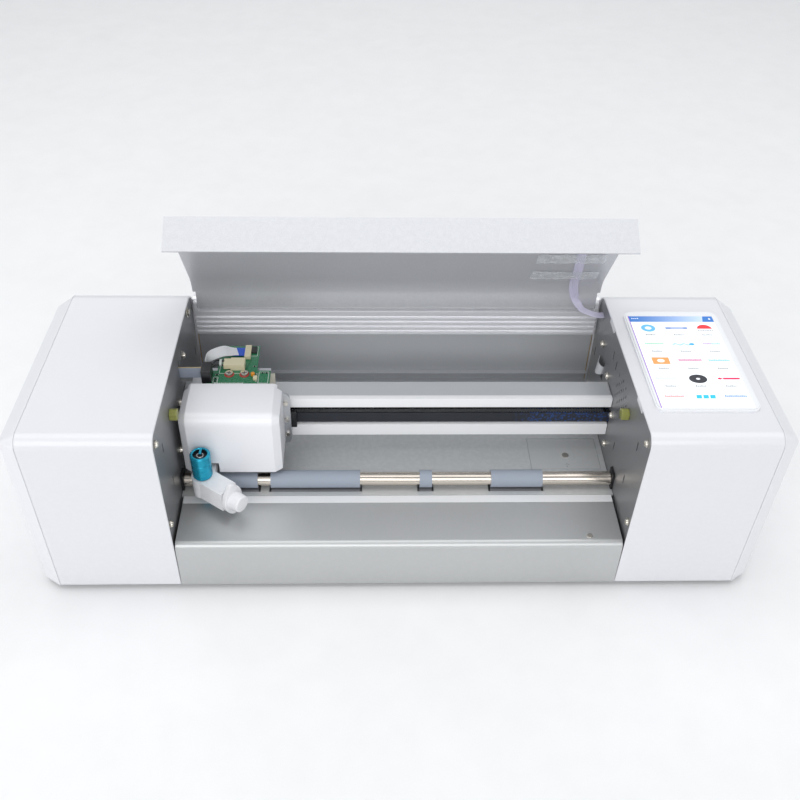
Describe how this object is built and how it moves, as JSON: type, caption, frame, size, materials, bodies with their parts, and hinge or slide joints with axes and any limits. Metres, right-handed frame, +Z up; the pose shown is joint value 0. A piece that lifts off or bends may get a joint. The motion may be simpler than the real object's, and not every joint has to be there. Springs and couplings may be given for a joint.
{
  "type": "desktop film cutting plotter",
  "caption": "Desktop plotter for cutting protective film, with two side housings, a knife carriage on a beam, pinch and drive rollers, a hinged lid and a touch screen.",
  "frame": {"origin": "centre of the footprint, on the surface that the feet stand on", "axes": "+X along the width, towards the screen side; -Y towards the operator; +Z up"},
  "size_m": [0.51, 0.1852, 0.2396],
  "materials": {
    "housing_white": "gloss",
    "cap_white": "gloss",
    "plate_grey": "satin metallic",
    "base_grey": "satin",
    "bed_satin": "satin",
    "strip_white": "matte",
    "panel_grey": "satin",
    "bar_grey": "anodised",
    "beam_grey": "anodised",
    "rail_white": "polished",
    "bushing_black": "matte",
    "bearing_steel": "satin",
    "screw_steel": "bright",
    "stop_yellow": "translucent",
    "foot_rubber": "matte",
    "bezel_white": "gloss",
    "screen": "gloss",
    "board_green": "gloss",
    "speaker_black": "matte",
    "inlet_black": "matte",
    "motor_black": "satin",
    "belt_black": "matte",
    "pulley_alu": "machined",
    "drive_steel": "knurled",
    "pinch_grey": "matte",
    "frame_alu": "satin",
    "glide_cream": "matte",
    "cover_white": "satin",
    "clamp_black": "matte",
    "coil_grey": "satin",
    "plug_cream": "matte",
    "ribbon_white": "satin",
    "ribbon_grey": "satin",
    "arm_white": "matte",
    "knife_teal": "anodised",
    "blade_steel": "ground",
    "knob_white": "satin",
    "lid_metal": "metallic",
    "tube_white": "satin",
    "tape_clear": "clear",
    "ribbon_lilac": "satin"
  },
  "bodies": {
    "chassis": {"base_plate": "base_grey", "side_plate_left": "plate_grey", "side_plate_right": "plate_grey", "housing_left": "housing_white", "housing_right": "housing_white", "end_cap_left": "cap_white", "end_cap_right": "cap_white", "front_bed": "bed_satin", "cutting_strip": "strip_white", "rear_bed": "bed_satin", "bed_hatch": "bed_satin", "rear_panel": "panel_grey", "hinge_bar": "bar_grey", "hinge_pins": "bearing_steel", "beam": "beam_grey", "upper_rail": "rail_white", "lower_rail": "rail_white", "bushings": "bushing_black", "drive_bearings": "bearing_steel", "plate_screws": "screw_steel", "lid_stops": "stop_yellow", "feet": "foot_rubber", "display_bezel": "bezel_white", "display_panel": "screen", "display_board": "board_green", "mainboard": "board_green", "speaker": "speaker_black", "power_inlet": "inlet_black", "x_motor": "motor_black", "feed_motor": "motor_black", "drive_brackets": "frame_alu", "drive_belt": "belt_black", "feed_belt": "belt_black", "ribbon_lead": "ribbon_lilac"},
    "motor_pulley": {"motor_pulley": "pulley_alu"},
    "idler_pulley": {"idler_pulley": "pulley_alu"},
    "feed_pinion": {"feed_pinion": "pulley_alu"},
    "drive_roller": {"drive_roller": "drive_steel"},
    "pinch_roller": {"pinch_roller": "pinch_grey"},
    "carriage": {"carriage_frame": "frame_alu", "glide_shoes": "glide_cream", "carriage_cover": "cover_white", "belt_clamp": "clamp_black", "lift_solenoid": "coil_grey", "carriage_board": "board_green", "board_connectors": "plug_cream", "board_ribbon": "ribbon_white", "cable_clamp": "clamp_black", "carriage_screws": "screw_steel", "carriage_ribbon": "ribbon_grey"},
    "knife": {"knife_arm": "arm_white", "knife_holder": "knife_teal", "blade": "blade_steel"},
    "depth_cap": {"depth_cap": "knife_teal"},
    "clamp_knob": {"clamp_knob": "knob_white"},
    "lid": {"lid_panel": "lid_metal", "hinge_tube": "tube_white", "lid_tapes": "tape_clear", "lid_ribbon": "ribbon_lilac"},
    "power_rocker": {"power_rocker": "inlet_black"}
  },
  "joints": [
    {"name": "carriage_slide", "type": "slide", "parent": "chassis", "child": "carriage", "axis": [1, 0, 0], "range_m": [0, 0.23]},
    {"name": "motor_spin", "type": "hinge", "parent": "chassis", "child": "motor_pulley", "pos_m": [-0.181, 0.0151, 0.0795], "axis": [0, 0, 1], "continuous": true},
    {"name": "idler_spin", "type": "hinge", "parent": "chassis", "child": "idler_pulley", "pos_m": [0.181, 0.0151, 0.0795], "axis": [0, 0, 1], "continuous": true},
    {"name": "drive_spin", "type": "hinge", "parent": "chassis", "child": "drive_roller", "pos_m": [0, -0.0306, 0.0381], "axis": [1, 0, 0], "continuous": true},
    {"name": "pinch_spin", "type": "hinge", "parent": "chassis", "child": "pinch_roller", "pos_m": [0, -0.0306, 0.0529], "axis": [1, 0, 0], "continuous": true},
    {"name": "pinion_spin", "type": "hinge", "parent": "chassis", "child": "feed_pinion", "pos_m": [0.1715, 0.0196, 0.0381], "axis": [1, 0, 0], "continuous": true},
    {"name": "knife_lift", "type": "slide", "parent": "carriage", "child": "knife", "axis": [0, 0, 1], "range_m": [-0.0016, 0], "stiffness_N_per_m": 400, "springref_m": 0.0022},
    {"name": "cap_turn", "type": "hinge", "parent": "knife", "child": "depth_cap", "pos_m": [-0.14, -0.043, 0.084], "axis": [0, 0, 1], "range_deg": [-180, 180]},
    {"name": "knob_turn", "type": "hinge", "parent": "knife", "child": "clamp_knob", "pos_m": [-0.14, -0.043, 0.062], "axis": [0.809, -0.5878, 0], "range_deg": [-90, 270]},
    {"name": "lid_hinge", "type": "hinge", "parent": "chassis", "child": "lid", "pos_m": [0, 0.0861, 0.1295], "axis": [1, 0, 0], "range_deg": [-32.5, 57.5]},
    {"name": "rocker_tilt", "type": "hinge", "parent": "chassis", "child": "power_rocker", "pos_m": [0.2215, 0.0816, 0.037], "axis": [1, 0, 0], "range_deg": [0, 13]}
  ],
  "couplings": [
    {"joint": "motor_spin", "follows": "carriage_slide", "rad_per_m": 142.86},
    {"joint": "idler_spin", "follows": "carriage_slide", "rad_per_m": 142.86},
    {"joint": "pinch_spin", "follows": "drive_spin", "ratio": -1.2308},
    {"joint": "pinion_spin", "follows": "drive_spin", "ratio": 1}
  ]
}
